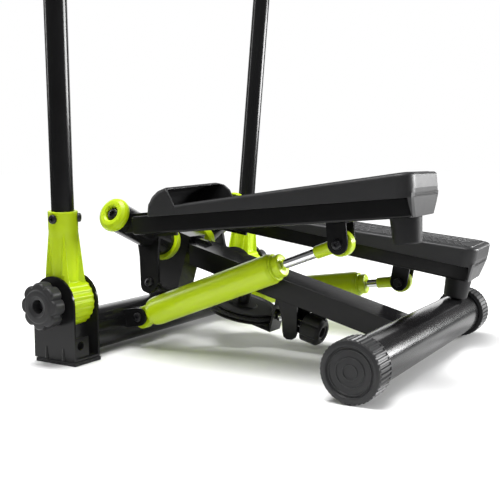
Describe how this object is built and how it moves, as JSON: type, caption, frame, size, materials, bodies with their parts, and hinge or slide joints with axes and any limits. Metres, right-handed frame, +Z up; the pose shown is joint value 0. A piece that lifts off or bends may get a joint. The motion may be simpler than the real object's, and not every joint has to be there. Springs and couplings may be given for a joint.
{
  "type": "stepper",
  "caption": "Stepper with two rope-linked foot pedals on hydraulic cylinders and two leaning hand posts.",
  "frame": {"origin": "on the floor, below the centre of the whole outline", "axes": "+Z up; +Y forward, towards the front crossbar with the hand posts and the pedal toes; +X to the right of a user standing on the pedals and facing +Y"},
  "size_m": [0.6212, 0.495, 1.1763],
  "materials": {
    "black_steel": "gloss powder coat",
    "black_plastic": "fine matt texture",
    "lime_plastic": "satin moulded",
    "lime_paint": "gloss enamel",
    "chrome": "polished",
    "rubber": "matt moulded",
    "black_bolt": "black oxide, satin",
    "rope": "braided",
    "foam": "closed-cell foam, matt"
  },
  "bodies": {
    "base": {"rear_crossbar": "black_steel", "front_crossbar": "black_steel", "centre_column": "black_steel", "main_beam": "black_steel", "right_end_cap": "black_plastic", "left_end_cap": "black_plastic", "adjuster_tongue": "black_steel", "pulley_carriage": "black_steel", "pulley_axle_bolt": "black_bolt", "adjuster_screw": "chrome", "rope": "rope", "right_bracket": "black_steel", "right_foot_pad": "rubber", "right_pedal_axle": "black_bolt", "right_hub_bolt": "black_bolt", "right_cylinder_base_bolt": "black_bolt", "left_bracket": "black_steel", "left_foot_pad": "rubber", "left_pedal_axle": "black_bolt", "left_hub_bolt": "black_bolt", "left_cylinder_base_bolt": "black_bolt"},
    "left_pedal": {"left_pedal_arm": "black_steel", "left_footplate": "black_plastic", "left_heel_bumper": "rubber", "left_rod_clevis_bolt": "black_bolt", "left_pivot_sleeve": "black_steel", "left_outer_bush": "lime_plastic", "left_inner_bush": "lime_plastic", "left_rope_anchor": "black_bolt"},
    "left_cylinder": {"left_cylinder_body": "lime_paint", "left_cylinder_gland": "lime_paint"},
    "left_rod": {"left_piston_rod": "chrome", "left_rod_eye": "lime_paint"},
    "left_post": {"left_post_socket": "lime_plastic", "left_hand_post": "black_steel", "left_collar_screw_1": "black_bolt", "left_collar_screw_2": "black_bolt", "left_hand_grip": "foam"},
    "left_knob": {"left_clamp_knob": "black_plastic"},
    "right_pedal": {"right_pedal_arm": "black_steel", "right_footplate": "black_plastic", "right_heel_bumper": "rubber", "right_rod_clevis_bolt": "black_bolt", "right_pivot_sleeve": "black_steel", "right_outer_bush": "lime_plastic", "right_inner_bush": "lime_plastic", "right_rope_anchor": "black_bolt"},
    "right_cylinder": {"right_cylinder_body": "lime_paint", "right_cylinder_gland": "lime_paint"},
    "right_rod": {"right_piston_rod": "chrome", "right_rod_eye": "lime_paint"},
    "right_post": {"right_post_socket": "lime_plastic", "right_hand_post": "black_steel", "right_collar_screw_1": "black_bolt", "right_collar_screw_2": "black_bolt", "right_hand_grip": "foam"},
    "right_knob": {"right_clamp_knob": "black_plastic"},
    "adjuster_knob": {"adjuster_knob": "black_plastic"},
    "rope_pulley": {"rope_pulley": "black_plastic"}
  },
  "joints": [
    {"name": "left_pedal_tread", "type": "hinge", "parent": "base", "child": "left_pedal", "pos_m": [-0.041, 0.18, 0.1425], "axis": [0.9198, 0, -0.3923], "range_deg": [0, 15.69], "deforming": ["rope"]},
    {"name": "right_pedal_tread", "type": "hinge", "parent": "base", "child": "right_pedal", "pos_m": [0.041, 0.18, 0.1425], "axis": [0.9198, 0, 0.3923], "range_deg": [-15.69, 0]},
    {"name": "right_cylinder_tilt", "type": "hinge", "parent": "base", "child": "right_cylinder", "pos_m": [0.114, 0.167, 0.046], "axis": [-0.9027, -0.1349, -0.4085], "range_deg": [0, 14.96]},
    {"name": "right_rod_stroke", "type": "slide", "parent": "right_cylinder", "child": "right_rod", "axis": [0.0888, -0.9875, 0.1299], "range_m": [0, 0.03182]},
    {"name": "left_cylinder_tilt", "type": "hinge", "parent": "base", "child": "left_cylinder", "pos_m": [-0.114, 0.167, 0.046], "axis": [0.9027, -0.1349, -0.4085], "range_deg": [0, 14.96]},
    {"name": "left_rod_stroke", "type": "slide", "parent": "left_cylinder", "child": "left_rod", "axis": [0.0228, -0.9332, 0.3586], "range_m": [-0.03182, 0]},
    {"name": "rope_pulley_turn", "type": "hinge", "parent": "base", "child": "rope_pulley", "pos_m": [0, 0.072, 0.0495], "axis": [0, -0.2588, 0.9659], "range_deg": [-18.12, 0]},
    {"name": "left_post_lean", "type": "hinge", "parent": "base", "child": "left_post", "pos_m": [-0.2221, 0.211, 0.0793], "axis": [1, 0, 0], "range_deg": [-30, 35]},
    {"name": "left_knob_turn", "type": "hinge", "parent": "base", "child": "left_knob", "pos_m": [-0.259, 0.211, 0.0793], "axis": [1, 0, 0], "continuous": true},
    {"name": "right_post_lean", "type": "hinge", "parent": "base", "child": "right_post", "pos_m": [0.2221, 0.211, 0.0793], "axis": [1, 0, 0], "range_deg": [-30, 35]},
    {"name": "right_knob_turn", "type": "hinge", "parent": "base", "child": "right_knob", "pos_m": [0.259, 0.211, 0.0793], "axis": [1, 0, 0], "continuous": true},
    {"name": "adjuster_knob_turn", "type": "hinge", "parent": "base", "child": "adjuster_knob", "pos_m": [0, -0.03684, 0.03069], "axis": [0, 0.9659, 0.2588], "continuous": true}
  ],
  "couplings": [
    {"joint": "right_pedal_tread", "follows": "left_pedal_tread", "ratio": -1},
    {"joint": "right_cylinder_tilt", "follows": "left_pedal_tread", "ratio": 0.95275},
    {"joint": "left_cylinder_tilt", "follows": "left_pedal_tread", "ratio": 0.95275},
    {"joint": "right_rod_stroke", "follows": "left_pedal_tread", "m_per_rad": 0.11615},
    {"joint": "left_rod_stroke", "follows": "left_pedal_tread", "m_per_rad": -0.11615},
    {"joint": "rope_pulley_turn", "follows": "left_pedal_tread", "ratio": -1.152}
  ]
}
